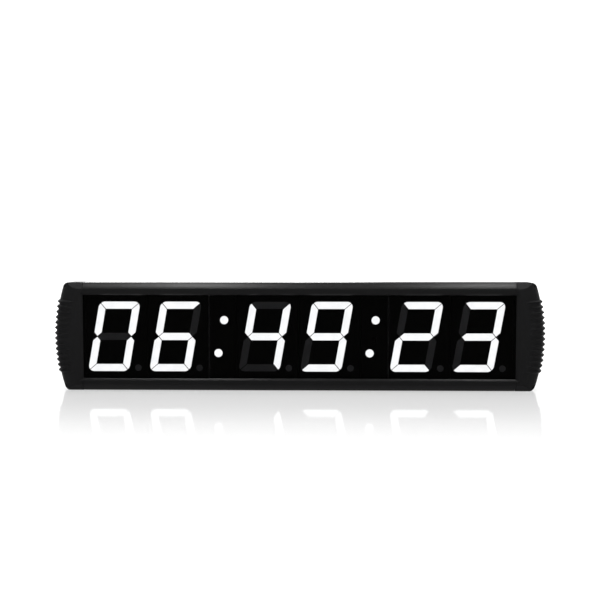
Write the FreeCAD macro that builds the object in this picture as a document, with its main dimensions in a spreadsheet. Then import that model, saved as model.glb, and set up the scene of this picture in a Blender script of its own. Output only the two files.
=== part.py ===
"""Gym round timer: six 4 inch digits and two colons behind a smoked window, in a wall case.

The case is two lengths of one aluminium extrusion, closed at both ends by ribbed plastic caps.
X runs to the right as the timer is read, Y from its front to its back, and Z up. The origin is the
middle of the base. Sizes are millimetres. Depths named "deep" or "front" are measured back from the
front plane of the case, and the level of a rail's feature is measured in from the case's outer face.
"""

import FreeCAD
import Part
import Sketcher
import math
import os
import re

DIMENSIONS = {
    # whole case
    "case_height": 160.0,
    "case_depth": 40.0,
    "rail_length": 636.0,
    # rail extrusion
    "skin": 1.8,
    "bevel": 9.3,
    "face_edge": 15.2,
    "lip_reach": 18.5,
    "lip_depth": 3.0,
    "groove_floor": 12.5,
    "groove_play": 0.2,
    "port_level": 5.4,
    "port_boss": 3.2,
    "port_hole": 1.45,
    "port_front": 13.3,
    "port_rear": 34.3,
    "slot_front": 33.4,
    "slot_rear": 38.2,
    "slot_floor": 13.8,
    "mouth_front": 35.8,
    "mouth_rear": 37.8,
    "mouth_lip": 16.3,
    # end caps, measured outwards from the rail's end
    "cap_reach": 45.4,
    "cap_wall": 2.5,
    "side_round": 258.0,
    "side_clear": 0.05,
    "corner_round": 16.0,
    "plan_round": 30.0,
    "back_round": 4.0,
    "frame_bevel": 5.0,
    "rib_count": 14.0,
    "rib_pitch": 7.9,
    "rib_width": 5.6,
    "rib_rise": 2.6,
    "rib_slope": 2.2,
    "rib_start": 19.0,
    "rib_back": 37.0,
    "well_radius": 3.4,
    "well_floor": 3.5,
    "boss_radius": 4.5,
    # window and back panel
    "window_front": 4.4,
    "window_thick": 2.5,
    "panel_front": 29.6,
    "panel_thick": 1.5,
    "plate_overlap": 3.0,
    "recess_wall": 31.5,
    "vent_across": 70.0,
    "vent_pitch": 6.0,
    "vent_width": 2.4,
    "vent_height": 26.0,
    # display modules
    "module_pitch": 91.0,
    "module_gap": 1.0,
    "module_height": 124.0,
    "module_front": 7.9,
    "module_deep": 11.0,
    "colon_width": 41.0,
    "colon_shift": -2.6,
    "colon_rise": 24.4,
    "colon_radius": 6.0,
    "digit_height": 103.2,
    "digit_width": 60.8,
    "digit_shift": -4.2,
    "digit_corner": 9.0,
    "stroke": 10.6,
    "stroke_gap": 1.0,
    "slant_degrees": 10.0,
    "point_across": 35.2,
    "point_drop": 46.6,
    "point_radius": 5.0,
    "light_deep": 8.0,
    "light_proud": 0.1,
    # boards and what stands on them
    "board_thick": 1.6,
    "chip_width": 3.5,
    "chip_height": 2.8,
    "chip_thick": 0.9,
    "board_height": 114.0,
    "ribbon_width": 12.0,
    "ribbon_thick": 0.6,
    "pin_radius": 0.4,
    "pin_hole": 0.5,
    "pin_pitch": 10.16,
    "pin_level": 53.0,
    "post_across": 2.5,
    "post_level": 50.0,
    "screw_shank": 1.4,
    "screw_hole": 1.6,
    "control_front": 22.9,
    "control_left": 190.0,
    "control_width": 100.0,
    "control_bottom": 46.0,
    "control_height": 64.0,
    # controls on the back
    "key_travel": 0.8,
    "key_radius": 3.0,
    "key_flange": 4.0,
    "key_gap": 0.3,
    "key_proud": 2.0,
    "key_first": 205.0,
    "key_spacing": 14.0,
    "key_level": 58.0,
    "knob_size": 3.4,
    "knob_travel": 4.0,
    "switch_across": 262.0,
    "buzzer_radius": 7.0,
    "buzzer_across": 214.0,
    "buzzer_level": 95.0,
    # power inlet in the right cap
    "inlet_across": 13.0,
    "inlet_deep": 23.8,
    # wall hangers
    "hanger_across": 200.0,
    "hanger_width": 40.0,
    "hanger_sheet": 1.6,
    "hanger_front": 36.0,
    "hanger_drop": 53.0,
    "keyhole_radius": 4.5,
    "keyhole_slot": 2.3,
    "keyhole_level": 41.0,
    "keyhole_run": 9.0,
}

DIGITS = ["0", "6", "4", "9", "2", "3"]
LIT_STROKES = {"0": "abcdef", "6": "acdefg", "4": "bcfg", "9": "abcdfg", "2": "abdeg", "3": "abcdg"}
MIDDLE = "case_height/2"

doc = FreeCAD.newDocument("GymRoundTimer")
sheet = doc.addObject("Spreadsheet::Sheet", "Dims")
for row, (alias, size) in enumerate(DIMENSIONS.items(), 1):
    sheet.set(f"A{row}", alias)
    sheet.set(f"B{row}", str(size))
    sheet.setAlias(f"B{row}", alias)
doc.recompute()

nodes = []


# ---------------------------------------------------------------- helpers
def expression(text):
    """Points every dimension's name in text at its cell in the spreadsheet."""

    def cell(match):
        word = match.group()
        return "Dims." + word if word in DIMENSIONS else word

    return re.sub(r"\b[a-z][a-z_]*\b", cell, str(text))


def value(text):
    """The number that a text of dimensions comes to."""
    return float(sheet.evalExpression(expression(text)))


def bind(thing, name, text):
    """Ties one of a thing's properties to the spreadsheet."""
    thing.setExpression(name, expression(text))


def deep(text):
    """The Y of a depth behind the front plane."""
    return f"({text} - case_depth/2)"


def outward(text):
    """The X of a distance beyond the rail's right end."""
    return f"(rail_length/2 + {text})"


def keep(thing, label):
    """Marks a thing as one of the timer's pieces, under the name that its file gets."""
    thing.Label = label
    nodes.append(thing)
    return thing


def arc_of(start, end, radius, turn):
    """The short arc from start to end; turn is 1 to run anticlockwise and -1 to run clockwise."""
    along = end - start
    middle = (start + end) * 0.5
    side = FreeCAD.Vector(-along.y, along.x, 0).normalize() * turn
    centre = middle + side * math.sqrt(max(radius**2 - (along.Length / 2) ** 2, 0))
    first, last = (start, end) if turn > 0 else (end, start)
    angles = [math.atan2(point.y - centre.y, point.x - centre.x) for point in (first, last)]
    circle = Part.Circle(centre, FreeCAD.Vector(0, 0, 1), radius)
    return Part.ArcOfCircle(circle, *angles)


def add_wire(sketch, wire):
    """Adds a closed outline. A corner is (x, y), or (x, y, radius, turn) where an arc leaves it."""
    points = [FreeCAD.Vector(value(corner[0]), value(corner[1]), 0) for corner in wire]
    edges = []
    for index, corner in enumerate(wire):
        start, end = points[index], points[(index + 1) % len(wire)]
        if len(corner) == 2:
            edge = sketch.addGeometry(Part.LineSegment(start, end), False)
            edges.append((edge, 1, 2))
        else:
            arc = arc_of(start, end, value(corner[2]), corner[3])
            edge = sketch.addGeometry(arc, False)
            edges.append((edge, 1, 2) if corner[3] > 0 else (edge, 2, 1))
    for index, corner in enumerate(wire):
        edge, first, last = edges[index]
        following = edges[(index + 1) % len(wire)]
        sketch.addConstraint(Sketcher.Constraint("Coincident", edge, last, following[0], following[1]))
        for kind, text in (("DistanceX", corner[0]), ("DistanceY", corner[1])):
            rule = Sketcher.Constraint(kind, -1, 1, edge, first, value(text))
            number = sketch.addConstraint(rule)
            bind(sketch, f"Constraints[{number}]", text)
        if len(corner) == 4:
            number = sketch.addConstraint(Sketcher.Constraint("Radius", edge, value(corner[2])))
            bind(sketch, f"Constraints[{number}]", corner[2])


def add_circle(sketch, across, up, radius):
    """Adds a circle whose centre and radius follow the spreadsheet."""
    centre = FreeCAD.Vector(value(across), value(up), 0)
    circle = Part.Circle(centre, FreeCAD.Vector(0, 0, 1), value(radius))
    edge = sketch.addGeometry(circle, False)
    rules = (
        (Sketcher.Constraint("DistanceX", -1, 1, edge, 3, centre.x), across),
        (Sketcher.Constraint("DistanceY", -1, 1, edge, 3, centre.y), up),
        (Sketcher.Constraint("Radius", edge, value(radius)), radius),
    )
    for rule, text in rules:
        number = sketch.addConstraint(rule)
        bind(sketch, f"Constraints[{number}]", text)


def new_body(name):
    return doc.addObject("PartDesign::Body", name)


def add_sketch(body, plane, level, wires=(), circles=()):
    """A sketch on one of the body's own planes, moved along the plane's axis to level."""
    role = plane + "_Plane"
    base = [feature for feature in body.Origin.OriginFeatures if feature.Role == role][0]
    sketch = body.newObject("Sketcher::SketchObject", body.Name + "_sketch")
    sketch.AttachmentSupport = [(base, "")]
    sketch.MapMode = "FlatFace"
    sign = "-" if plane == "XZ" else ""
    bind(sketch, "AttachmentOffset.Base.z", f"{sign}({level})")
    for wire in wires:
        add_wire(sketch, wire)
    for circle in circles:
        add_circle(sketch, *circle)
    return sketch


def add_pad(body, plane, level, length, wires=(), circles=()):
    """Pads outlines from level towards the plane's positive axis."""
    sketch = add_sketch(body, plane, level, wires, circles)
    pad = body.newObject("PartDesign::Pad", body.Name + "_pad")
    pad.Profile = sketch
    pad.Reversed = plane == "XZ"
    bind(pad, "Length", length)
    return pad


def add_pocket(body, plane, level, length, wires=(), circles=()):
    """Cuts outlines from level towards the plane's positive axis."""
    before = body.Shape.Volume
    sketch = add_sketch(body, plane, level, wires, circles)
    pocket = body.newObject("PartDesign::Pocket", body.Name + "_pocket")
    pocket.Profile = sketch
    pocket.Reversed = plane != "XZ"
    bind(pocket, "Length", length)
    doc.recompute()
    if body.Shape.Volume >= before:
        raise RuntimeError(f"{body.Name}: a pocket cut nothing")
    return pocket


def prism(name, plane, level, length, wires=(), circles=()):
    """A body with one padded sketch."""
    body = new_body(name)
    add_pad(body, plane, level, length, wires, circles)
    doc.recompute()
    return body


def rectangle(left, bottom, right, top):
    return [(left, bottom), (right, bottom), (right, top), (left, top)]


def around(across, up, width, height):
    """A rectangle about its own middle."""
    return rectangle(
        f"{across} - ({width})/2", f"{up} - ({height})/2", f"{across} + ({width})/2", f"{up} + ({height})/2"
    )


def box(name, corner, size):
    """A box from its lowest corner and its three sizes."""
    thing = doc.addObject("Part::Box", name)
    for side, text in zip(("Length", "Width", "Height"), size):
        bind(thing, side, text)
    for axis, text in zip("xyz", corner):
        bind(thing, f"Placement.Base.{axis}", text)
    return thing


TURNS = {
    "x": FreeCAD.Rotation(FreeCAD.Vector(0, 1, 0), 90),
    "y": FreeCAD.Rotation(FreeCAD.Vector(1, 0, 0), -90),
    "z": FreeCAD.Rotation(),
}


def rod(name, axis, start, radius, length):
    """A cylinder from the middle of its first end, running along a positive axis."""
    thing = doc.addObject("Part::Cylinder", name)
    thing.Placement = FreeCAD.Placement(FreeCAD.Vector(), TURNS[axis])
    bind(thing, "Radius", radius)
    bind(thing, "Height", length)
    for letter, text in zip("xyz", start):
        bind(thing, f"Placement.Base.{letter}", text)
    return thing


def combine(kind, name, things):
    """Fuses, intersects or groups things, as kind says."""
    whole = doc.addObject("Part::" + kind, name)
    if kind == "Compound":
        whole.Links = things
    else:
        whole.Shapes = things
        whole.Refine = True
    return whole


def cut(name, base, tool):
    thing = doc.addObject("Part::Cut", name)
    thing.Base = base
    thing.Tool = tool
    thing.Refine = True
    return thing


def mirrored(name, source):
    """A left-hand copy of a right-hand piece."""
    thing = doc.addObject("Part::Mirroring", name)
    thing.Source = source
    thing.Normal = FreeCAD.Vector(1, 0, 0)
    return thing


# ---------------------------------------------------------------- extruded rails
def rail(label, level):
    """One length of the extrusion. level turns a distance in from the outer face into a height."""
    groove_front = "window_front - groove_play"
    groove_rear = "window_front + window_thick + groove_play"
    bracket_rear = f"{groove_rear} + skin - groove_play"
    panel_rear = "panel_front + panel_thick + groove_play"
    profile = [
        ("case_depth", "0"),
        ("bevel", "0"),
        ("0", "bevel"),
        ("0", "face_edge"),
        ("lip_depth", "lip_reach"),
        (groove_front, "lip_reach"),
        (groove_front, "groove_floor"),
        (groove_rear, "groove_floor"),
        (groove_rear, "lip_reach - 2"),
        (bracket_rear, "lip_reach - 2"),
        (bracket_rear, "groove_floor - skin"),
        (f"{groove_front} - skin", "groove_floor - skin"),
        (f"{groove_front} - skin", "lip_reach - skin*1.35"),
        ("skin", "face_edge - skin*0.6"),
        ("skin", "bevel + skin*(sqrt(2) - 1)"),
        ("bevel + skin*(sqrt(2) - 1)", "skin"),
        ("port_front - port_boss", "skin"),
        ("port_front - port_boss", "port_level + port_boss"),
        ("port_front + port_boss", "port_level + port_boss"),
        ("port_front + port_boss", "skin"),
        (panel_rear, "skin"),
        (panel_rear, "slot_floor - skin"),
        ("panel_front - skin", "slot_floor - skin"),
        ("panel_front - skin", "lip_reach"),
        ("panel_front - groove_play", "lip_reach"),
        ("panel_front - groove_play", "slot_floor"),
        (panel_rear, "slot_floor"),
        (panel_rear, "lip_reach"),
        ("mouth_front", "lip_reach"),
        ("mouth_front", "mouth_lip"),
        ("slot_front", "mouth_lip"),
        ("slot_front", "slot_floor"),
        ("slot_rear", "slot_floor"),
        ("slot_rear", "mouth_lip"),
        ("mouth_rear", "mouth_lip"),
        ("mouth_rear", "lip_reach"),
        ("case_depth", "lip_reach"),
    ]
    chamber = [
        ("port_rear + port_boss*0.85", "skin"),
        ("slot_rear", "skin"),
        ("slot_rear", "slot_floor - skin"),
        ("slot_front", "slot_floor - skin"),
        ("slot_front", "port_level + port_boss"),
        ("port_rear + port_boss*0.85", "port_level + port_boss"),
    ]
    wires = [[(deep(across), level(up)) for across, up in wire] for wire in (profile, chamber)]
    ports = [(deep(port), level("port_level"), "port_hole") for port in ("port_front", "port_rear")]
    return keep(prism(label, "YZ", "-rail_length/2", "rail_length", wires, ports), label)


# ---------------------------------------------------------------- ribbed end caps
SIDE_RISE = "sqrt((side_round - corner_round)^2 - (case_height/2 - corner_round)^2)"


def turned_plan(name, inset):
    """The cap's plan, turned about the middle of the side's arc, so that its side curves both ways."""
    plan = [
        ("side_round - cap_reach - plan_round", deep(inset)),
        ("side_round - plan_round", deep(inset), f"plan_round - {inset}", 1),
        (f"side_round - {inset}", deep("plan_round")),
        (f"side_round - {inset}", deep("case_depth - back_round"), f"back_round - {inset}", 1),
        ("side_round - back_round", deep(f"case_depth - {inset}")),
        ("side_round - cap_reach - plan_round", deep(f"case_depth - {inset}")),
    ]
    body = new_body(name)
    sketch = add_sketch(body, "XY", MIDDLE, [plan])
    bind(sketch, "AttachmentOffset.Base.x", outward("cap_reach - side_round"))
    turned = body.newObject("PartDesign::Revolution", name + "_turned")
    turned.Profile = sketch
    turned.ReferenceAxis = (sketch, ["V_Axis"])
    turned.Midplane = True
    turned.Angle = 60
    doc.recompute()
    return body


def cap_solid(name, inset, start):
    """The cap's solid shape, set in all round by inset, from start outwards.

    The front outline stands side_clear outside the turned side, so that only one of them cuts it.
    """
    centre = "cap_reach + side_clear - side_round"
    corner_across = f"{centre} + {SIDE_RISE}"
    side_across = f"{centre} + (side_round - {inset})*{SIDE_RISE}/(side_round - corner_round)"
    side_up = f"(side_round - {inset})*(case_height/2 - corner_round)/(side_round - corner_round)"
    corner = f"corner_round - {inset}"
    outline = [
        (outward(start), inset),
        (outward(corner_across), inset, corner, 1),
        (outward(side_across), f"{MIDDLE} - {side_up}", f"side_round - {inset}", 1),
        (outward(side_across), f"{MIDDLE} + {side_up}", corner, 1),
        (outward(corner_across), f"case_height - {inset}"),
        (outward(start), f"case_height - {inset}"),
    ]
    chamfer = f"bevel + {inset}*(sqrt(2) - 1)"
    section = [
        (deep(f"case_depth - {inset}"), inset),
        (deep(f"case_depth - {inset}"), f"case_height - {inset}"),
        (deep(chamfer), f"case_height - {inset}"),
        (deep(inset), f"case_height - ({chamfer})"),
        (deep(inset), chamfer),
        (deep(chamfer), inset),
    ]
    views = [
        prism(name + "_outline", "XZ", deep("-1"), "case_depth + 2", [outline]),
        turned_plan(name + "_plan", inset),
        prism(name + "_section", "YZ", outward("-1"), "cap_reach + 2", [section]),
    ]
    return combine("MultiCommon", name, views)


def cap_rib(index):
    """One grip rib: a plate round the cap's side, with both of its outer edges taken off."""
    rise = f"({index} - (rib_count - 1)/2)*rib_pitch"
    level = f"{MIDDLE} + {rise}"
    set_in = f"(side_round - sqrt(side_round^2 - ({rise})^2))"
    nose = "(cap_reach + rib_rise - rib_start)"
    plate = [
        (outward(f"rib_start - {set_in}"), deep("0"), nose, 1),
        (outward(f"cap_reach + rib_rise - {set_in}"), deep(nose)),
        (outward(f"cap_reach + rib_rise - {set_in}"), deep("rib_back")),
        (outward(f"rib_start - {set_in}"), deep("rib_back")),
    ]
    body = prism(f"rib_{index}", "XY", f"{level} - rib_width/2", "rib_width", [plate])
    tip = value(outward(f"cap_reach + rib_rise - {set_in}"))
    pad = body.Tip
    edges = []
    for number, edge in enumerate(pad.Shape.Edges, 1):
        flat = edge.BoundBox.ZLength < 0.01
        outer = edge.BoundBox.XMax > tip - 0.01
        along_side = edge.BoundBox.YLength > 1
        if flat and outer and along_side:
            edges.append(f"Edge{number}")
    chamfer = body.newObject("PartDesign::Chamfer", f"rib_{index}_edges")
    chamfer.Base = (pad, edges)
    bind(chamfer, "Size", "rib_slope")
    doc.recompute()
    return body


def port_rods(name, radius, start, length):
    """Four rods on the lines of the rails' screw ports, beyond the right end."""
    rods = []
    for port in ("port_front", "port_rear"):
        for level in ("port_level", "case_height - port_level"):
            rod_start = (outward(start), deep(port), level)
            rods.append(rod(f"{name}_{len(rods)}", "x", rod_start, radius, length))
    return rods


def window_frame_wedge():
    """The bevel along the cap's edge beside the window, mitred into the rails' bevels."""
    slope = "lip_depth/frame_bevel"
    rise = "(lip_reach - face_edge)/lip_depth"
    far = f"lip_depth + {slope}"
    plan = [
        (outward("-1"), deep("-1")),
        (outward("frame_bevel + frame_bevel/lip_depth"), deep("-1")),
        (outward("-1"), deep(far)),
    ]
    low, high = f"face_edge - {rise}", f"face_edge + ({far})*{rise}"
    section = [
        (deep("-1"), low),
        (deep(far), high),
        (deep(far), f"case_height - ({high})"),
        (deep("-1"), f"case_height - ({low})"),
    ]
    views = [
        prism("wedge_plan", "XY", "0", "case_height", [plan]),
        prism("wedge_section", "YZ", outward("-2"), "frame_bevel*2 + 4", [section]),
    ]
    return combine("MultiCommon", "frame_wedge", views)


def right_cap_shell():
    """The moulding that both end caps share, as the right-hand one."""
    outer = cap_solid("cap_outer", "0", "0")
    ribs = [cap_rib(index) for index in range(int(DIMENSIONS["rib_count"]))]
    ribbed = combine("MultiFuse", "cap_ribbed", [outer] + ribs)
    hollow = cap_solid("cap_hollow", "cap_wall", "-1")
    inner_height = "case_height - 2*cap_wall"
    front_block = box(
        "cap_front_block",
        (outward("-1"), deep("cap_wall"), "cap_wall"),
        ("9", "window_front - groove_play - cap_wall", inner_height),
    )
    rear_block = box(
        "cap_rear_block",
        (outward("-1"), deep("recess_wall"), "cap_wall"),
        ("cap_wall + 1", "case_depth - cap_wall - recess_wall", inner_height),
    )
    cavity = cut("cap_cavity", hollow, combine("MultiFuse", "cap_blocks", [front_block, rear_block]))
    shell = cut("cap_shell", ribbed, cavity)
    boss_rods = combine("Compound", "cap_boss_rods", port_rods("boss", "boss_radius", "0", "cap_reach"))
    bosses = combine("MultiCommon", "cap_bosses", [outer, boss_rods])
    body = combine("MultiFuse", "cap_body", [shell, bosses])
    wells = port_rods("well", "well_radius", "well_floor", "cap_reach")
    holes = port_rods("well_hole", "screw_shank + 0.4", "-1", "well_floor + 2")
    tools = combine("MultiFuse", "cap_tools", wells + holes + [window_frame_wedge()])
    return cut("cap_moulding", body, tools)


def end_caps():
    """The left cap is the plain moulding; the right one also takes the power inlet in its base."""
    moulding = right_cap_shell()
    keep(mirrored("left_cap_mirror", moulding), "left_end_cap")
    place = (outward("inlet_across"), deep("inlet_deep"))
    seat = rod("inlet_seat", "z", (*place, "0"), "8.2", "5.5")
    recess = rod("inlet_recess", "z", (*place, "-1"), "6.2", "3.5")
    hole = rod("inlet_hole", "z", (*place, "-1"), "4.1", "8")
    trimmed = combine("MultiCommon", "inlet_seat_trimmed", [seat, doc.getObject("cap_outer")])
    wells = port_rods("inlet_well", "well_radius", "well_floor", "cap_reach")
    body = combine("MultiFuse", "right_cap_body", [moulding, trimmed])
    tools = combine("MultiFuse", "inlet_tools", [recess, hole] + wells)
    keep(cut("right_cap_cut", body, tools), "right_end_cap")


def cap_screws():
    """The eight pan-head screws through the caps into the rails' ports."""
    heads = port_rods("cap_screw_head", "well_radius - 0.3", "well_floor", "2.4")
    shanks = port_rods("cap_screw_shank", "screw_shank", "-12", "well_floor + 12")
    sockets = port_rods("cap_screw_socket", "1.5", "well_floor + 1.2", "2")
    screws = []
    for index, (head, shank, socket) in enumerate(zip(heads, shanks, sockets)):
        blank = combine("MultiFuse", f"cap_screw_blank_{index}", [head, shank])
        screws.append(cut(f"cap_screw_{index}", blank, socket))
    right = combine("Compound", "right_screws", screws)
    left = mirrored("left_screws", right)
    keep(combine("Compound", "both_ends_screws", [left, right]), "cap_screws")


# ---------------------------------------------------------------- window and back panel
def front_window():
    outline = rectangle(
        "-rail_length/2 - plate_overlap",
        "groove_floor + 0.3",
        "rail_length/2 + plate_overlap",
        "case_height - groove_floor - 0.3",
    )
    keep(prism("window_sheet", "XZ", deep("window_front"), "window_thick", [outline]), "front_window")


def post_places():
    """Where the posts stand behind the display boards: four to a board."""
    edge = "(3*module_pitch + colon_width)"
    seam = "(module_pitch + colon_width)"
    across = [f"{edge} - 10", f"{seam} + 10", f"{seam} - 10"]
    places = []
    for side in ("-1", "1"):
        for text in across:
            for up in ("-post_level", "post_level"):
                places.append((f"{side}*({text})", f"{MIDDLE} + {up}"))
    return places


def control_posts():
    """Where the controller board's own posts stand."""
    left, bottom = "control_left + 5", "control_bottom + 5"
    right, top = "control_left + control_width - 5", "control_bottom + control_height - 5"
    return [(left, bottom), (right, bottom), (left, top), (right, top)]


def key_places():
    return [(f"key_first + {index}*key_spacing", "key_level") for index in range(3)]


def back_panel():
    """Sheet closing the case behind the boards, with holes for the controls, the sound and the screws."""
    outline = rectangle(
        "-rail_length/2 - plate_overlap",
        "slot_floor + 0.3",
        "rail_length/2 + plate_overlap",
        "case_height - slot_floor - 0.3",
    )
    slot = around("switch_across", "key_level", "knob_size + knob_travel + 1", "knob_size + 0.6")
    sheet_body = prism("panel_sheet", "XZ", deep("panel_front"), "panel_thick", [outline, slot])
    holes = [(*place, "screw_hole") for place in post_places() + control_posts()]
    holes += [(*place, "key_radius + key_gap") for place in key_places()]
    holes.append(("buzzer_across", "buzzer_level", "1"))
    for turn in range(0, 360, 60):
        holes.append((f"buzzer_across + 4*cos({turn})", f"buzzer_level + 4*sin({turn})", "1"))
    drills = [
        rod(f"panel_hole_{index}", "y", (across, deep("panel_front - 1"), up), radius, "panel_thick + 2")
        for index, (across, up, radius) in enumerate(holes)
    ]
    for side in ("-1", "1"):
        for index in range(12):
            across = f"{side}*vent_across + ({index} - 5.5)*vent_pitch - vent_width/2"
            corner = (across, deep("panel_front - 1"), f"{MIDDLE} - vent_height*1.3")
            size = ("vent_width", "panel_thick + 2", "vent_height")
            drills.append(box(f"vent_{len(drills)}", corner, size))
    keep(cut("panel_cut", sheet_body, combine("Compound", "panel_drills", drills)), "back_panel")


def light_seals():
    """Foam strips that stop light and dust at the ends of the display."""
    inner = "3*module_pitch + colon_width"
    sizes = (f"rail_length/2 - ({inner})", "module_deep", "module_height")
    corner = (inner, deep("module_front"), f"{MIDDLE} - module_height/2")
    right = keep(box("right_seal", corner, sizes), "right_light_seal")
    keep(mirrored("left_seal", right), "left_light_seal")


# ---------------------------------------------------------------- display modules
def slanted(across, centre, up):
    """A point of the upright figure, leaned over and moved to its module."""
    return (f"{centre} + {across} + ({up})*tan(slant_degrees)", f"{MIDDLE} + {up}")


def stroke_outline(letter, centre):
    """The outline of one of the seven strokes, a to g, round the figure's centre."""
    half, wide = "digit_height/2", "digit_width/2"
    off = "stroke_gap*sqrt(0.5)"
    bow = "digit_corner*(1 - sqrt(0.5))"
    nudge = "stroke_gap*sqrt(0.125)"
    bar = [
        (f"stroke - {wide} + {off}", f"{half} - stroke"),
        (f"{wide} - stroke - {off}", f"{half} - stroke"),
        (f"{wide} - {bow} - {nudge}", f"{half} - {bow} + {nudge}", "digit_corner", 1),
        (f"{wide} - digit_corner", half),
        (f"digit_corner - {wide}", half, "digit_corner", 1),
        (f"{bow} + {nudge} - {wide}", f"{half} - {bow} + {nudge}"),
    ]
    side = [
        (f"{wide} - stroke/2", off),
        (wide, f"{off} + stroke/2"),
        (wide, f"{half} - digit_corner", "digit_corner", 1),
        (f"{wide} - {bow} + {nudge}", f"{half} - {bow} - {nudge}"),
        (f"{wide} - stroke", f"{half} - stroke - {off}"),
        (f"{wide} - stroke", f"{off} + stroke/2"),
    ]
    middle = [
        (f"stroke/2 - {wide} + {off}", "0"),
        (f"stroke - {wide} + {off}", "-stroke/2"),
        (f"{wide} - stroke - {off}", "-stroke/2"),
        (f"{wide} - stroke/2 - {off}", "0"),
        (f"{wide} - stroke - {off}", "stroke/2"),
        (f"stroke - {wide} + {off}", "stroke/2"),
    ]
    shape = {"a": bar, "d": bar, "g": middle}.get(letter, side)
    flip_across = -1 if letter in "def" else 1
    flip_up = -1 if letter in "cde" else 1
    outline = []
    for corner in shape:
        across, up = f"{flip_across}*({corner[0]})", f"{flip_up}*({corner[1]})"
        outline.append((*slanted(across, centre, up), *corner[2:]))
    if flip_across * flip_up < 0:
        outline = [corner[:2] + ((corner[2], -corner[3]) if len(corner) == 4 else ()) for corner in outline]
    return outline


def module_centres():
    """The X of the six digit modules, from left to right."""
    steps = ("-(2.5*module_pitch + colon_width)", "-(1.5*module_pitch + colon_width)", "-0.5*module_pitch")
    return list(steps) + [f"-1*({text})" for text in reversed(steps)]


def decimal_point(centre):
    return (f"{centre} + point_across", f"{MIDDLE} - point_drop", "point_radius")


def digit_module(number, figure, middle):
    """A digit's black housing, its lit strokes and its dark ones with the decimal point."""
    name = f"digit_{number}"
    centre = f"{middle} + digit_shift"
    frame = around(middle, MIDDLE, "module_pitch - module_gap", "module_height")
    strokes = {letter: stroke_outline(letter, centre) for letter in "abcdefg"}
    point = decimal_point(centre)
    housing = prism(
        name + "_case", "XZ", deep("module_front"), "module_deep", [frame, *strokes.values()], [point]
    )
    keep(housing, name + "_housing")
    face = deep("module_front - light_proud")
    lit = [strokes[letter] for letter in LIT_STROKES[figure]]
    dark = [strokes[letter] for letter in "abcdefg" if letter not in LIT_STROKES[figure]]
    keep(prism(name + "_lit", "XZ", face, "light_deep", lit), name + "_lit_segments")
    keep(prism(name + "_dark", "XZ", face, "light_deep", dark, [point]), name + "_unlit_segments")


def colon_dots(centre):
    """The two dots of a colon, on the figures' slant."""
    dots = []
    for up in ("colon_rise", "-colon_rise"):
        dots.append((*slanted("colon_shift", centre, up), "colon_radius"))
    return dots


RECEIVER_LEVEL = f"{MIDDLE} - 4"


def colon_module(side, centre, holes=()):
    """A colon's housing with its two lit dots."""
    frame = around(centre, MIDDLE, "colon_width - module_gap", "module_height")
    dots = colon_dots(centre)
    housing = prism(
        side + "_colon_case", "XZ", deep("module_front"), "module_deep", [frame, *holes], dots
    )
    keep(housing, side + "_colon_housing")
    face = deep("module_front - light_proud")
    keep(prism(side + "_colon_lit", "XZ", face, "light_deep", (), dots), side + "_colon_dots")


def display_modules():
    for number, (figure, centre) in enumerate(zip(DIGITS, module_centres()), 1):
        digit_module(number, figure, centre)
    colon_centre = "(module_pitch + colon_width/2)"
    window = around(colon_centre, RECEIVER_LEVEL, "6.4", "7.4")
    colon_module("left", f"-1*{colon_centre}")
    colon_module("right", colon_centre, [window])


def infrared_receiver():
    """The remote's receiver, looking out through the right-hand colon module."""
    across = "module_pitch + colon_width/2"
    corner = (f"{across} - 2.9", deep("module_front + 3"), f"{RECEIVER_LEVEL} - 3.4")
    case = box("receiver_case", corner, ("5.8", "module_deep - 3", "6.8"))
    dome = doc.addObject("Part::Sphere", "receiver_dome")
    bind(dome, "Radius", "2.4")
    for axis, text in zip("xyz", (across, deep("module_front + 3"), RECEIVER_LEVEL)):
        bind(dome, f"Placement.Base.{axis}", text)
    keep(combine("MultiFuse", "receiver", [case, dome]), "ir_receiver")


# ---------------------------------------------------------------- boards
BOARD_FRONT = "module_front + module_deep"
BOARD_REAR = "module_front + module_deep + board_thick"


def pin_places(centre):
    """The ten pins of a digit module, in a row along its top and its bottom."""
    places = []
    for up in ("pin_level", "-pin_level"):
        for step in (-2, -1, 0, 1, 2):
            places.append((f"{centre} + {step}*pin_pitch", f"{MIDDLE} + {up}"))
    return places


def colon_pins(centre):
    return [(centre, f"{MIDDLE} + pin_level"), (centre, f"{MIDDLE} - pin_level")]


def display_boards():
    """Three boards, each carrying the modules between two seams, and the modules' pins."""
    centres = module_centres()
    colon = "(module_pitch + colon_width/2)"
    seam, edge = "(module_pitch + colon_width)", "(3*module_pitch + colon_width)"
    groups = {
        "left": (f"-1*{edge}", f"-1*{seam}", centres[:2], []),
        "centre": (f"-1*{seam}", seam, centres[2:4], [f"-1*{colon}", colon]),
        "right": (seam, edge, centres[4:], []),
    }
    pins = []
    for side, (left, right, digits, colons) in groups.items():
        places = [place for centre in digits for place in pin_places(centre)]
        places += [place for centre in colons for place in colon_pins(centre)]
        outline = rectangle(
            f"{left} + 0.4", f"{MIDDLE} - board_height/2", f"{right} - 0.4", f"{MIDDLE} + board_height/2"
        )
        holes = [(*place, "pin_hole") for place in places]
        board = prism(side + "_board", "XZ", deep(BOARD_FRONT), "board_thick", [outline], holes)
        keep(board, side + "_display_board")
        pins += places
    circles = [(*place, "pin_radius") for place in pins]
    keep(prism("pins", "XZ", deep(BOARD_FRONT), "board_thick + 1.2", (), circles), "module_pins")


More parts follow.
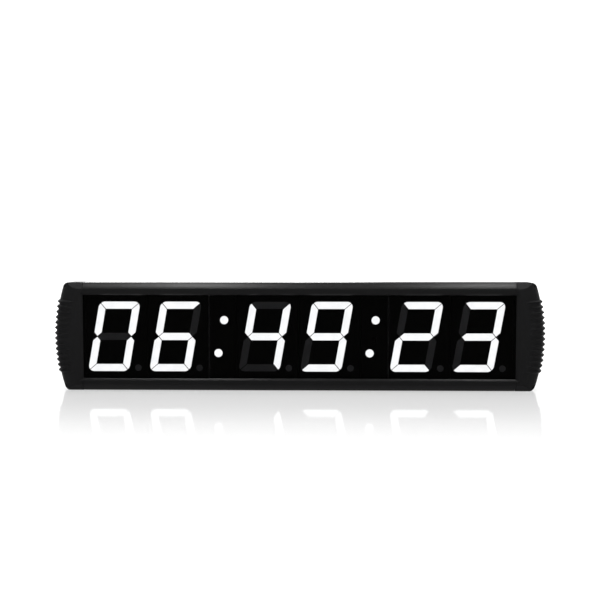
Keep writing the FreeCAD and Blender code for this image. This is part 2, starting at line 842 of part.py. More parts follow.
def stroke_lights():
    """Three light-emitting chips under each stroke, one under each point and one under each dot."""
    places = []
    for middle in module_centres():
        centre = f"{middle} + digit_shift"
        rail_across, rail_up = "(digit_width - stroke)/2", "digit_height/4"
        for up in ("-(digit_height - stroke)/2", "0", "(digit_height - stroke)/2"):
            for step in (-1, 0, 1):
                places.append(slanted(f"{step}*12", centre, up))
        for side in ("-1", "1"):
            for half in ("-1", "1"):
                for step in (-1, 0, 1):
                    places.append(slanted(f"{side}*{rail_across}", centre, f"{half}*{rail_up} + {step}*12"))
        places.append(decimal_point(centre)[:2])
    for side in ("-1", "1"):
        places += [dot[:2] for dot in colon_dots(f"{side}*(module_pitch + colon_width/2)")]
    chips = []
    for index, (across, up) in enumerate(places):
        corner = (f"{across} - chip_width/2", deep(f"{BOARD_FRONT} - chip_thick"), f"{up} - chip_height/2")
        chips.append(box(f"emitter_{index}", corner, ("chip_width", "chip_thick", "chip_height")))
    keep(combine("Compound", "emitters", chips), "led_chips")


def driver_chips():
    """The shift registers that drive the strokes, on the backs of the boards."""
    outlines = []
    for centre in module_centres():
        for up in ("-26", "26"):
            outlines.append(around(f"{centre} - 20", f"{MIDDLE} + {up}", "10", "6.4"))
    keep(prism("drivers", "XZ", deep(BOARD_REAR), "1.5", outlines), "driver_chips")


def ribbon_strip(name, path, level):
    """A flat cable on edge in plan, along path, whose points are (across, depth)."""
    near = [(across, deep(depth)) for across, depth in path]
    far = [(across, deep(f"{depth} + ribbon_thick")) for across, depth in reversed(path)]
    return prism(name, "XY", f"{level} - ribbon_width/2", "ribbon_width", [near + far])


def ribbons():
    """Short flat cables across the boards' seams, and one from the controller to the display."""
    seam, level = "(module_pitch + colon_width)", f"{MIDDLE} + 8"
    links = []
    for name, middle in (("left_link", f"-1*{seam}"), ("right_link", seam)):
        path = [
            (f"{middle} - 12", BOARD_REAR),
            (f"{middle} - 9", BOARD_REAR),
            (f"{middle} - 6", f"{BOARD_REAR} + 3"),
            (f"{middle} + 6", f"{BOARD_REAR} + 3"),
            (f"{middle} + 9", BOARD_REAR),
            (f"{middle} + 12", BOARD_REAR),
        ]
        links.append(ribbon_strip(name, path, level))
    keep(combine("Compound", "link_pair", links), "link_ribbons")
    path = [
        ("control_left - 20", BOARD_REAR),
        ("control_left - 16", BOARD_REAR),
        ("control_left - 6", "control_front + board_thick + 1"),
        ("control_left + 1", "control_front + board_thick"),
        ("control_left + 7", "control_front + board_thick"),
    ]
    keep(ribbon_strip("controller_link", path, level), "controller_ribbon")


def post(name, place, front, rear):
    """A hexagonal post, tapped from the back panel's side."""
    across, up = place
    points = []
    for index in range(6):
        turn = index * 60
        points.append((f"{across} + post_across*cos({turn})", f"{up} + post_across*sin({turn})"))
    hole = [(across, up, "screw_shank + 0.1")]
    return prism(name, "XZ", deep(front), f"{rear} - ({front})", [points], hole)


def posts_and_screws():
    """Posts between the boards and the back panel, and the screws that hold the panel to them."""
    control_rear = "control_front + board_thick"
    display = [
        post(f"display_post_{index}", place, BOARD_REAR, "panel_front")
        for index, place in enumerate(post_places())
    ]
    control = [
        post(f"control_post_{index}", place, control_rear, "panel_front")
        for index, place in enumerate(control_posts())
    ]
    keep(combine("Compound", "posts", display), "board_standoffs")
    keep(combine("Compound", "control_post_group", control), "controller_standoffs")
    outer = "panel_front + panel_thick"
    screws = []
    for index, (across, up) in enumerate(post_places() + control_posts()):
        head = rod(f"panel_head_{index}", "y", (across, deep(outer), up), "2.7", "1.7")
        shank = rod(f"panel_shank_{index}", "y", (across, deep(f"{outer} - 5.5"), up), "screw_shank", "5.5")
        socket = rod(f"panel_socket_{index}", "y", (across, deep(f"{outer} + 0.8"), up), "1.2", "2")
        blank = combine("MultiFuse", f"panel_blank_{index}", [head, shank])
        screws.append(cut(f"panel_screw_{index}", blank, socket))
    keep(combine("Compound", "panel_screw_group", screws), "panel_screws")


def controller():
    """The clock board behind the right-hand digits, with everything soldered to its back."""
    rear = "control_front + board_thick"
    right, top = "control_left + control_width", "control_bottom + control_height"
    outline = rectangle("control_left", "control_bottom", right, top)
    board = prism("control_sheet", "XZ", deep("control_front"), "board_thick", [outline])
    keep(board, "controller_board")
    chips = [
        around("control_left + 52", "control_bottom + 40", "12", "9"),
        around("control_left + 68", "control_bottom + 26", "6", "5"),
        around("control_left + 61.5", "control_bottom + 40", "3.2", "8"),
        around("control_left + 36", "control_bottom + 26", "5", "4"),
    ]
    keep(prism("control_parts", "XZ", deep(rear), "1.7", chips), "controller_chips")
    sounder = rod("sounder", "y", ("buzzer_across", deep(rear), "buzzer_level"), "buzzer_radius", "4.5")
    throat = rod("throat", "y", ("buzzer_across", deep(f"{rear} + 1"), "buzzer_level"), "1.2", "5")
    keep(cut("buzzer_cut", sounder, throat), "buzzer")
    cell_place = ("control_left + 78", "control_bottom + 46")
    cell_start = (cell_place[0], deep(f"{rear} + 0.9"), cell_place[1])
    cradle = rod("cradle", "y", (cell_place[0], deep(rear), cell_place[1]), "11.6", "3.2")
    pit = rod("cradle_pit", "y", cell_start, "10.1", "4")
    keep(cut("cradle_cut", cradle, pit), "coin_cell_holder")
    keep(rod("cell", "y", cell_start, "10", "3.2"), "coin_cell")
    bodies = [box(
        f"key_switch_{index}",
        (f"{across} - 3", deep(rear), f"{up} - 3"),
        ("6", "3.5", "6"),
    ) for index, (across, up) in enumerate(key_places())]
    keep(combine("Compound", "key_switch_group", bodies), "key_switches")
    switch_corner = ("switch_across - 6.5", deep(rear), "key_level - 3.5")
    keep(box("slide_case", switch_corner, ("13", "4", "7")), "power_switch_body")
    plug_corner = ("control_left + control_width - 8", deep(rear), "control_bottom + 12")
    keep(box("plug_case", plug_corner, ("6", "4.6", "10")), "power_connector")


def controls():
    """What a finger moves: three keys that press in, and the knob of the power switch."""
    for index, (across, up) in enumerate(key_places()):
        flange_front = "panel_front - 0.7"
        flange = rod(f"key_flange_{index}", "y", (across, deep(flange_front), up), "key_flange", "0.6")
        stem_start = (across, deep(f"{flange_front} + 0.3"), up)
        stem_length = "panel_thick + key_proud + 0.4"
        stem = rod(f"key_stem_{index}", "y", stem_start, "key_radius", stem_length)
        keep(combine("MultiFuse", f"key_{index}", [flange, stem]), f"set_key_{index + 1}")
    rest = "switch_across - knob_travel/2"
    plate = prism(
        "knob_plate", "XZ", deep("panel_front - 0.9"), "0.7", [around(rest, "key_level", "9", "5.6")]
    )
    grip = prism(
        "knob_grip",
        "XZ",
        deep("panel_front - 0.4"),
        "panel_thick + key_proud",
        [around(rest, "key_level", "knob_size", "knob_size")],
    )
    keep(combine("MultiFuse", "knob", [plate, grip]), "power_switch_knob")


# ---------------------------------------------------------------- power inlet and its leads
def power_inlet():
    """A 5.5 mm barrel inlet up through the right cap's base, and the nut that holds it."""
    place = (outward("inlet_across"), deep("inlet_deep"))
    flange = rod("inlet_flange", "z", (*place, "1"), "5.6", "1.5")
    barrel = rod("inlet_barrel", "z", (*place, "1.5"), "3.95", "13")
    bore = rod("inlet_bore", "z", (*place, "0"), "2.75", "11")
    pin = rod("inlet_pin", "z", (*place, "3"), "1.05", "9")
    blank = combine("MultiFuse", "inlet_blank", [flange, barrel])
    bored = cut("inlet_bored", blank, bore)
    tabs = [
        box(f"inlet_tab_{index}", (f"{place[0]} - 1", f"{place[1]} + {offset}", "14"), ("2", "0.6", "5"))
        for index, offset in enumerate((-2.2, 1.6))
    ]
    keep(combine("MultiFuse", "inlet_whole", [bored, pin] + tabs), "dc_inlet")
    across, back = place
    corners = [
        (f"{across} + 5.4*cos({60 * index})", f"{back} + 5.4*sin({60 * index})") for index in range(6)
    ]
    nut = prism("inlet_nut", "XY", "5.5", "2.4", [corners], [(across, back, "4.05")])
    keep(nut, "dc_inlet_nut")


def lead_path(points):
    """Straight runs joined by tangent arcs, each as large as its two runs allow."""
    edges = []
    start = points[0]
    for index in range(1, len(points) - 1):
        before, corner, after = points[index - 1 : index + 2]
        inwards, outwards = before - corner, after - corner
        turn = math.pi - inwards.getAngle(outwards)
        radius = 0.45 * min(inwards.Length, outwards.Length) / math.tan(turn / 2)
        trim = radius * math.tan(turn / 2)
        inwards.normalize()
        outwards.normalize()
        first, last = corner + inwards * trim, corner + outwards * trim
        half = (inwards + outwards).normalize()
        middle = corner + half * (radius / math.cos(turn / 2) - radius)
        edges.append(Part.LineSegment(start, first).toShape())
        edges.append(Part.Arc(first, middle, last).toShape())
        start = last
    edges.append(Part.LineSegment(start, points[-1]).toShape())
    return Part.Wire(edges)


def lead(points, radius):
    """A round wire swept along its path."""
    path = lead_path(points)
    direction = points[1] - points[0]
    end = Part.Wire(Part.makeCircle(radius, points[0], direction))
    return path.makePipeShell([end], True, False)


def power_leads():
    """Two wires from the inlet's tabs to the connector on the controller board."""
    inlet_x, inlet_y = value(outward("inlet_across")), value(deep("inlet_deep"))
    plug_x = value("control_left + control_width - 1.95")
    plug_y = value(deep("control_front + board_thick + 2.3"))
    plug_z = value("control_bottom + 17")
    solids = []
    for offset in (-2.0, 2.0):
        points = [
            FreeCAD.Vector(inlet_x, inlet_y + offset * 0.95, 19),
            FreeCAD.Vector(inlet_x, inlet_y + offset, 34),
            FreeCAD.Vector(inlet_x - 8, plug_y, 50 + offset),
            FreeCAD.Vector(plug_x + 20, plug_y, plug_z + offset + 1),
            FreeCAD.Vector(plug_x, plug_y, plug_z + offset),
        ]
        solids.append(lead(points, 0.8))
    thing = doc.addObject("Part::Feature", "leads")
    thing.Shape = Part.makeCompound(solids)
    keep(thing, "power_leads")


# ---------------------------------------------------------------- wall hangers
def wall_hangers():
    """Steel plates that slide along the upper rail's rear slot and take a wall screw's head."""
    rear = "hanger_front + hanger_sheet"
    head_low, head_high = "case_height - mouth_lip + 0.3", "case_height - slot_floor - 0.3"
    profile = [
        (deep("hanger_front"), "case_height - hanger_drop"),
        (deep(rear), "case_height - hanger_drop"),
        (deep(rear), head_high),
        (deep("slot_front + 0.4"), head_high),
        (deep("slot_front + 0.4"), head_low),
        (deep("hanger_front"), head_low),
    ]
    centre = "hanger_across"
    body = prism("hanger", "YZ", f"{centre} - hanger_width/2", "hanger_width", [profile])
    hole_up = "case_height - keyhole_level"
    top_up = f"{hole_up} + keyhole_run"
    reach = "sqrt(keyhole_radius^2 - keyhole_slot^2)"
    keyhole = [
        (f"{centre} + keyhole_slot", f"{hole_up} + {reach}"),
        (f"{centre} + keyhole_slot", top_up, "keyhole_slot*1.0001", 1),
        (f"{centre} - keyhole_slot", top_up),
        (f"{centre} - keyhole_slot", f"{hole_up} + {reach}"),
    ]
    slot = [keyhole]
    add_pocket(body, "XZ", deep("hanger_front - 1"), "hanger_sheet + 2", slot)
    hole = [(centre, hole_up, "keyhole_radius")]
    add_pocket(body, "XZ", deep("hanger_front - 1"), "hanger_sheet + 2", (), hole)
    plate = body.Tip
    corners = []
    low = value("case_height - hanger_drop")
    for number, edge in enumerate(plate.Shape.Edges, 1):
        ends = edge.BoundBox
        across_sheet = abs(ends.YLength - value("hanger_sheet")) < 0.01 and ends.XLength < 0.01
        if across_sheet and abs(ends.ZMax - low) < 0.01:
            corners.append(f"Edge{number}")
    fillet = body.newObject("PartDesign::Fillet", "hanger_corners")
    fillet.Base = (plate, corners)
    fillet.Radius = 5
    doc.recompute()
    keep(body, "right_hanger")
    keep(mirrored("left_hanger_mirror", body), "left_hanger")


# ---------------------------------------------------------------- build and export
def build():
    rail("bottom_rail", lambda text: f"({text})")
    rail("top_rail", lambda text: f"(case_height - ({text}))")
    end_caps()
    cap_screws()
    front_window()
    back_panel()
    light_seals()
    display_modules()
    infrared_receiver()
    display_boards()
    stroke_lights()
    driver_chips()
    ribbons()
    posts_and_screws()
    controller()
    controls()
    power_inlet()
    power_leads()
    wall_hangers()
    doc.recompute()


def check():
    """Stops at the first object that failed to compute and at the first piece that isn't sound."""
    for thing in doc.Objects:
        if "Invalid" in thing.State or "Error" in thing.State:
            raise RuntimeError(f"{thing.Name} failed: {thing.State}")
    for piece in nodes:
        if piece.Shape.isNull() or not piece.Shape.isValid() or not piece.Shape.Solids:
            raise RuntimeError(f"{piece.Label} has no sound solid")


def export():
    os.makedirs("parts", exist_ok=True)
    for piece in nodes:
        piece.Shape.exportStep(f"parts/{piece.Label}.step")
        print(f"{piece.Label}: {len(piece.Shape.Solids)} solids, {piece.Shape.Volume / 1000:.2f} cm3")
    print(len(nodes), "pieces")


build()
check()
export()
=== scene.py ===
"""Gym round timer: looks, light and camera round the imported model.

Everything is in metres. X runs to the right as the timer is read, Y from its front to its back, Z up.
"""

import math

import bpy
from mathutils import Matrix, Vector


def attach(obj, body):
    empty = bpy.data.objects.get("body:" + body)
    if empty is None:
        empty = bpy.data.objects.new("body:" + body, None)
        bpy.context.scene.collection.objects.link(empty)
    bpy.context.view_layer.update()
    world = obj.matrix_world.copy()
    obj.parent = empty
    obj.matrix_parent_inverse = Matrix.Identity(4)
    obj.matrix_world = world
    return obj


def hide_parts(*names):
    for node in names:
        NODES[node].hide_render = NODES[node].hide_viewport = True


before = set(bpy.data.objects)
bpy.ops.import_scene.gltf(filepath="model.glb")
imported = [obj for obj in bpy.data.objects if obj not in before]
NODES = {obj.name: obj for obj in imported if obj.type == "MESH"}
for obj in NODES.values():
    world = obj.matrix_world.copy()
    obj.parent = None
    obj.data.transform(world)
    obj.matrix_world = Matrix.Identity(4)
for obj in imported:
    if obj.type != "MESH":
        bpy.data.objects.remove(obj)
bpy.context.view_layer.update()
MM = 0.001


# ---------------------------------------------------------------- nodes and colours
def linear(hex_colour):
    """An sRGB colour such as "1a1a1c" as the linear one that a shader takes."""
    parts = [int(hex_colour[i : i + 2], 16) / 255 for i in (0, 2, 4)]
    return (*[p / 12.92 if p <= 0.04045 else ((p + 0.055) / 1.055) ** 2.4 for p in parts], 1.0)


def add(tree, kind, inputs=None, **settings):
    """Adds one node, with its settings, and gives each of its inputs a value or a link."""
    made = tree.nodes.new(kind)
    for name, value in settings.items():
        setattr(made, name, value)
    for socket, value in (inputs or {}).items():
        if isinstance(value, bpy.types.NodeSocket):
            tree.links.new(value, made.inputs[socket])
        else:
            made.inputs[socket].default_value = value
    return made


def new_material(name):
    """An empty material: its tree, and the place on the piece that its patterns read."""
    material = bpy.data.materials.new(name)
    material.use_nodes = True
    tree = material.node_tree
    tree.nodes.clear()
    place = add(tree, "ShaderNodeTexCoord").outputs["Object"]
    return material, tree, place


def close(tree, shader):
    """Gives the material its surface."""
    add(tree, "ShaderNodeOutputMaterial", {"Surface": shader.outputs["BSDF"]})


def per_metre(size_mm):
    """How often a feature of this size repeats in a metre, which is a texture's scale."""
    return 1 / (size_mm * MM)


# ---------------------------------------------------------------- materials
def anodised_aluminium():
    """Black anodised extrusion: satin, with faint die lines along its length."""
    material, tree, place = new_material("black_anodised_aluminium")
    # die lines about 1 mm apart, 80 times as long as they are wide
    lengthened = 80
    lie = add(tree, "ShaderNodeMapping", {"Vector": place, "Scale": (1 / lengthened, 1, 1)})
    lines = add(
        tree,
        "ShaderNodeTexNoise",
        {"Vector": lie.outputs["Vector"], "Scale": per_metre(1.0), "Detail": 3.0, "Roughness": 0.6},
    )
    # the etched grain is far under a millimetre, and is drawn at 0.5 mm so that it shows
    grain = add(tree, "ShaderNodeTexNoise", {"Vector": place, "Scale": per_metre(0.5), "Detail": 2.0})
    # the dye takes a little unevenly over some centimetres
    cloud = add(tree, "ShaderNodeTexNoise", {"Vector": place, "Scale": per_metre(60), "Detail": 2.0})
    colour = add(
        tree,
        "ShaderNodeMix",
        {"Factor": cloud.outputs["Fac"], "A": linear("121213"), "B": linear("171718")},
        data_type="RGBA",
    )
    rough = add(
        tree,
        "ShaderNodeMapRange",
        {"Value": lines.outputs["Fac"], "To Min": 0.30, "To Max": 0.42},
    )
    bump = add(
        tree,
        "ShaderNodeBump",
        {"Height": grain.outputs["Fac"], "Strength": 0.12, "Distance": 0.04 * MM},
    )
    shader = add(
        tree,
        "ShaderNodeBsdfPrincipled",
        {
            "Base Color": colour.outputs["Result"],
            "Roughness": rough.outputs["Result"],
            "Normal": bump.outputs["Normal"],
            "IOR": 1.5,
        },
    )
    close(tree, shader)
    return material


def textured_plastic(name, dark, light, rough, grain_mm, depth_mm, ior=1.5, strength=0.3):
    """Moulded plastic or rubber with the fine grain that its mould was etched with."""
    material, tree, place = new_material(name)
    grain = add(tree, "ShaderNodeTexNoise", {"Vector": place, "Scale": per_metre(grain_mm), "Detail": 2.0})
    cloud = add(tree, "ShaderNodeTexNoise", {"Vector": place, "Scale": per_metre(35), "Detail": 2.0})
    colour = add(
        tree,
        "ShaderNodeMix",
        {"Factor": cloud.outputs["Fac"], "A": linear(dark), "B": linear(light)},
        data_type="RGBA",
    )
    roughness = add(
        tree,
        "ShaderNodeMapRange",
        {"Value": grain.outputs["Fac"], "To Min": rough - 0.05, "To Max": rough + 0.07},
    )
    bump = add(
        tree,
        "ShaderNodeBump",
        {"Height": grain.outputs["Fac"], "Strength": strength, "Distance": depth_mm * MM},
    )
    shader = add(
        tree,
        "ShaderNodeBsdfPrincipled",
        {
            "Base Color": colour.outputs["Result"],
            "Roughness": roughness.outputs["Result"],
            "Normal": bump.outputs["Normal"],
            "IOR": ior,
        },
    )
    close(tree, shader)
    return material


def smoked_acrylic():
    """Smoked acrylic: dark, but lit strokes show through it, with little glare.

    The IOR is well below plain acrylic's 1.49, chosen so that the window stays almost black.
    """
    material, tree, place = new_material("smoked_acrylic")
    # faint hazing from wiping, in patches of some centimetres
    wiped = add(tree, "ShaderNodeTexNoise", {"Vector": place, "Scale": per_metre(45), "Detail": 3.0})
    rough = add(tree, "ShaderNodeMapRange", {"Value": wiped.outputs["Fac"], "To Min": 0.22, "To Max": 0.32})
    shader = add(
        tree,
        "ShaderNodeBsdfPrincipled",
        {
            "Base Color": linear("000000"),
            "Roughness": rough.outputs["Result"],
            "IOR": 1.2,
            "Alpha": 0.35,
        },
    )
    close(tree, shader)
    return material


def module_plastic():
    """Matt black housings, their resin showing in a thin grey line where two boards' modules meet."""
    material, tree, place = new_material("matt_black_module")
    grain = add(tree, "ShaderNodeTexNoise", {"Vector": place, "Scale": per_metre(0.5), "Detail": 2.0})
    black = add(
        tree,
        "ShaderNodeMix",
        {"Factor": grain.outputs["Fac"], "A": linear("060606"), "B": linear("090909")},
        data_type="RGBA",
    )
    # the middle board ends 132 mm to either side, and the grey line takes in 1 mm on each side of that
    seam_place, seam_reach = 132 * MM, 1.0 * MM
    across = add(tree, "ShaderNodeSeparateXYZ", {"Vector": place})
    out = add(tree, "ShaderNodeMath", {0: across.outputs["X"]}, operation="ABSOLUTE")
    seam = add(
        tree,
        "ShaderNodeMath",
        {0: out.outputs["Value"], 1: seam_place, 2: seam_reach},
        operation="COMPARE",
    )
    colour = add(
        tree,
        "ShaderNodeMix",
        {"Factor": seam.outputs["Value"], "A": black.outputs["Result"], "B": linear("4c4c4e")},
        data_type="RGBA",
    )
    bump = add(
        tree,
        "ShaderNodeBump",
        {"Height": grain.outputs["Fac"], "Strength": 0.3, "Distance": 0.02 * MM},
    )
    shader = add(
        tree,
        "ShaderNodeBsdfPrincipled",
        {
            "Base Color": colour.outputs["Result"],
            "Roughness": 0.6,
            "Normal": bump.outputs["Normal"],
            "Specular IOR Level": 0.3,
        },
    )
    close(tree, shader)
    return material


def lit_resin():
    """Milky resin over white emitters: an even glow, a little stronger above each emitter."""
    material, tree, place = new_material("lit_resin")
    # emitters stand 12 mm apart under a stroke
    spots = add(tree, "ShaderNodeTexVoronoi", {"Vector": place, "Scale": per_metre(12)})
    glow = add(
        tree,
        "ShaderNodeMapRange",
        {"Value": spots.outputs["Distance"], "From Max": 0.7, "To Min": 2.35, "To Max": 2.1},
    )
    shader = add(
        tree,
        "ShaderNodeBsdfPrincipled",
        {
            "Base Color": linear("d8dade"),
            "Roughness": 0.35,
            "Emission Color": linear("fdfeff"),
            "Emission Strength": glow.outputs["Result"],
        },
    )
    close(tree, shader)
    return material


def unlit_resin():
    """The same resin with its emitters off, seen dark grey behind the smoked window."""
    material, tree, place = new_material("unlit_resin")
    # the milkiness clouds over some millimetres
    milk = add(tree, "ShaderNodeTexNoise", {"Vector": place, "Scale": per_metre(6), "Detail": 2.0})
    colour = add(
        tree,
        "ShaderNodeMix",
        {"Factor": milk.outputs["Fac"], "A": linear("58585a"), "B": linear("626265")},
        data_type="RGBA",
    )
    shader = add(
        tree,
        "ShaderNodeBsdfPrincipled",
        {"Base Color": colour.outputs["Result"], "Roughness": 0.4, "Specular IOR Level": 0.2},
    )
    close(tree, shader)
    return material


def circuit_board():
    """Glass-epoxy board under green solder mask, with copper tracks that show through it."""
    material, tree, place = new_material("circuit_board")
    # the pattern is laid flat on the board, which stands upright
    laid = add(tree, "ShaderNodeMapping", {"Vector": place, "Rotation": (math.pi / 2, 0, 0)})
    # tracks run square to the board's edges, 2.5 mm apart
    tracks = add(
        tree,
        "ShaderNodeTexBrick",
        {
            "Vector": laid.outputs["Vector"],
            "Color1": linear("0b4a22"),
            "Color2": linear("0e5528"),
            "Mortar": linear("156c38"),
            "Scale": per_metre(10),
            "Mortar Size": 0.03,
            "Brick Width": 1.3,
            "Row Height": 0.25,
        },
    )
    bump = add(
        tree,
        "ShaderNodeBump",
        {"Height": tracks.outputs["Fac"], "Strength": 0.3, "Distance": 0.05 * MM},
    )
    shader = add(
        tree,
        "ShaderNodeBsdfPrincipled",
        {
            "Base Color": tracks.outputs["Color"],
            "Roughness": 0.3,
            "Normal": bump.outputs["Normal"],
            "IOR": 1.55,
        },
    )
    close(tree, shader)
    return material


def plated_metal(name, dark, light, rough, grain_mm):
    """Plated or bare metal, with the faint mottling of its finish."""
    material, tree, place = new_material(name)
    mottle = add(tree, "ShaderNodeTexNoise", {"Vector": place, "Scale": per_metre(grain_mm), "Detail": 4.0})
    colour = add(
        tree,
        "ShaderNodeMix",
        {"Factor": mottle.outputs["Fac"], "A": linear(dark), "B": linear(light)},
        data_type="RGBA",
    )
    roughness = add(
        tree,
        "ShaderNodeMapRange",
        {"Value": mottle.outputs["Fac"], "To Min": rough - 0.08, "To Max": rough + 0.1},
    )
    shader = add(
        tree,
        "ShaderNodeBsdfPrincipled",
        {"Base Color": colour.outputs["Result"], "Metallic": 1.0, "Roughness": roughness.outputs["Result"]},
    )
    close(tree, shader)
    return material


def ribbon_vinyl():
    """Grey flat cable whose wires' ridges, 1.27 mm apart up its width, are painted highlight and painted
    shade in lighter and darker grey bands.
    """
    material, tree, place = new_material("ribbon_vinyl")
    # at a scale of 1 the wave texture repeats every 2 pi / 20
    wave_scale = per_metre(1.27) * 2 * math.pi / 20
    # painted highlight and painted shade: the wave's bands draw light on the ridges' crowns and shade in the
    # hollows between them
    painted_ridge_shading = add(
        tree,
        "ShaderNodeTexWave",
        {"Vector": place, "Scale": wave_scale, "Distortion": 0.0},
        bands_direction="Z",
    )
    # the two greys are the ridges' painted shade and painted highlight, not two colours of the vinyl
    colour = add(
        tree,
        "ShaderNodeMix",
        {"Factor": painted_ridge_shading.outputs["Fac"], "A": linear("6f7174"), "B": linear("8d8f92")},
        data_type="RGBA",
    )
    shader = add(
        tree,
        "ShaderNodeBsdfPrincipled",
        {"Base Color": colour.outputs["Result"], "Roughness": 0.45, "IOR": 1.5},
    )
    close(tree, shader)
    return material


# ---------------------------------------------------------------- which node is made of what
# oxide-blacked steel is dark and half dull, moulded silicone is matt, and acetal is smooth with a soft sheen
BLACK_OXIDE = plated_metal("black_oxide_steel", "202021", "303032", 0.38, 1.5)
SILICONE = textured_plastic("grey_silicone", "3a3a3d", "434346", 0.6, 0.6, 0.03)
ACETAL = textured_plastic("black_acetal", "131314", "19191a", 0.35, 1.0, 0.02)


def finishes():
    """Each material with the nodes that are made of it."""
    digits = [f"digit_{n}" for n in range(1, 7)]
    sides = ["left_colon", "right_colon"]
    # nickel plate: warm, and shinier than zinc
    steel = plated_metal("nickel_plated_steel", "a8a49a", "c9c6bd", 0.3, 3)
    return {
        anodised_aluminium(): ["top_rail", "bottom_rail"],
        # moulded ABS: an even, soft sheen; its etched grain of 0.3 mm is drawn at 0.7 mm so that it shows
        textured_plastic("cap_abs", "131314", "19191b", 0.62, 0.7, 0.05): ["left_end_cap", "right_end_cap"],
        smoked_acrylic(): ["front_window"],
        module_plastic(): [
            *[f"{d}_housing" for d in digits],
            *[f"{s}_housing" for s in sides],
        ],
        lit_resin(): [*[f"{d}_lit_segments" for d in digits], *[f"{s}_dots" for s in sides]],
        unlit_resin(): [f"{d}_unlit_segments" for d in digits],
        # pressed sheet, a little duller than the rails
        textured_plastic("panel_styrene", "141415", "1a1a1b", 0.5, 0.8, 0.05): ["back_panel"],
        # open cells: quite dull, and uneven in tone
        textured_plastic("foam_rubber", "0b0b0b", "121212", 0.8, 0.8, 0.2): [
            "left_light_seal",
            "right_light_seal",
        ],
        circuit_board(): [
            "left_display_board",
            "centre_display_board",
            "right_display_board",
            "controller_board",
        ],
        # moulded epoxy: fine, matt and nearly black
        textured_plastic("chip_epoxy", "101011", "161617", 0.55, 0.4, 0.02): [
            "driver_chips",
            "controller_chips",
            "buzzer",
            "coin_cell_holder",
            "key_switches",
            "dc_inlet",
        ],
        # the emitters' phosphor looks yellow from outside
        textured_plastic("phosphor_gel", "d9c46a", "e3d07e", 0.3, 1.2, 0.02): ["led_chips"],
        # clear to infrared only: glossy, and black with a trace of purple
        textured_plastic("infrared_epoxy", "120a0e", "180e13", 0.12, 4.0, 0.01): ["ir_receiver"],
        # dipped tin: pale and softly mottled
        plated_metal("tinned_copper", "b5b4ac", "cfcec6", 0.35, 2): ["module_pins"],
        steel: [
            "board_standoffs",
            "controller_standoffs",
            "coin_cell",
            "power_switch_body",
            "dc_inlet_nut",
        ],
        BLACK_OXIDE: ["cap_screws", "panel_screws"],
        # bright zinc: bluish, with spangle some millimetres across
        plated_metal("zinc_plated_steel", "9aa0a4", "b9bdc0", 0.33, 4): ["left_hanger", "right_hanger"],
        # natural nylon: waxy and cream
        textured_plastic("nylon_plug", "cfccc0", "d8d5ca", 0.45, 1.0, 0.03): ["power_connector"],
        SILICONE: ["set_key_1", "set_key_2", "set_key_3"],
        ACETAL: ["power_switch_knob"],
        # extruded vinyl: smooth and slightly soft
        textured_plastic("lead_vinyl", "5c0c0c", "6e1010", 0.4, 1.5, 0.02): ["power_leads"],
        ribbon_vinyl(): ["link_ribbons", "controller_ribbon"],
    }


def paint_nodes():
    """Puts its own material on every node, also on those that a modelled piece stands in for."""
    for material, names in finishes().items():
        for name in names:
            NODES[name].data.materials.clear()
            NODES[name].data.materials.append(material)


# ---------------------------------------------------------------- modelling by hand
def only(piece):
    """Makes a piece the only thing selected, and the active one."""
    bpy.ops.object.select_all(action="DESELECT")
    piece.select_set(True)
    bpy.context.view_layer.objects.active = piece


def finished(piece, name, body="case", stands_for=(), finish=None, angle=35):
    """Names a piece, puts its place into its mesh, and joins it to the body it moves with."""
    only(piece)
    bpy.ops.object.transform_apply(location=True, rotation=True, scale=True)
    bpy.ops.object.shade_smooth_by_angle(angle=math.radians(angle))
    piece.name = piece.data.name = name
    if finish:
        piece.data.materials.clear()
        piece.data.materials.append(finish)
    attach(piece, body)
    if stands_for:
        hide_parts(*stands_for)
    return piece


JOIN_WITHIN = 0.002 * MM
FLAT_WITHIN = math.radians(0.4)


def merged_copy(node):
    """A copy of a CAD node with its loose triangles joined and its flat faces made whole again."""
    source = NODES[node]
    piece = source.copy()
    piece.data = source.data.copy()
    piece.parent = None
    for key in list(piece.keys()):
        del piece[key]
    bpy.context.scene.collection.objects.link(piece)
    only(piece)
    bpy.ops.object.mode_set(mode="EDIT")
    bpy.ops.mesh.select_all(action="SELECT")
    bpy.ops.mesh.customdata_custom_splitnormals_clear()
    bpy.ops.mesh.remove_doubles(threshold=JOIN_WITHIN)
    bpy.ops.mesh.dissolve_limited(angle_limit=FLAT_WITHIN)
    bpy.ops.object.mode_set(mode="OBJECT")
    return piece


def bevel_edges(piece, chosen, offset_mm, segments=2):
    """Bevels the edges that chosen picks by the places of their two ends, in millimetres."""
    only(piece)
    bpy.ops.object.mode_set(mode="EDIT")
    bpy.ops.mesh.select_mode(type="EDGE")
    bpy.ops.mesh.select_all(action="DESELECT")
    bpy.ops.object.mode_set(mode="OBJECT")
    points = [vertex.co / MM for vertex in piece.data.vertices]
    count = 0
    for edge in piece.data.edges:
        edge.select = chosen(*(points[index] for index in edge.vertices))
        count += edge.select
    if not count:
        raise RuntimeError(f"{piece.name}: no edge to bevel")
    bpy.ops.object.mode_set(mode="EDIT")
    bpy.ops.mesh.bevel(offset=offset_mm * MM, segments=segments, profile=0.5, affect="EDGES")
    bpy.ops.object.mode_set(mode="OBJECT")


# the case, in millimetres, and how near its faces a corner has to be to count as on them
RAIL_END = 318.0
CASE_FRONT, CASE_BACK, CASE_TOP = -20.0, 20.0, 160.0
FRONT_BEVEL = 9.3
NEAR = 0.02
SEAM_BEVEL, RAIL_BEVEL = 0.6, 0.35


def on_outline(point):
    """Whether a point lies on the outer faces that the rails and the caps share."""
    inward = min(point.z, CASE_TOP - point.z)
    return (
        inward < NEAR
        or point.y < CASE_FRONT + NEAR
        or point.y > CASE_BACK - NEAR
        or point.y - CASE_FRONT + inward < FRONT_BEVEL + NEAR
    )


def at_seam(a, b):
    """An outer edge at the seam between a rail and a cap."""
    return all(abs(abs(point.x) - RAIL_END) < NEAR and on_outline(point) for point in (a, b))


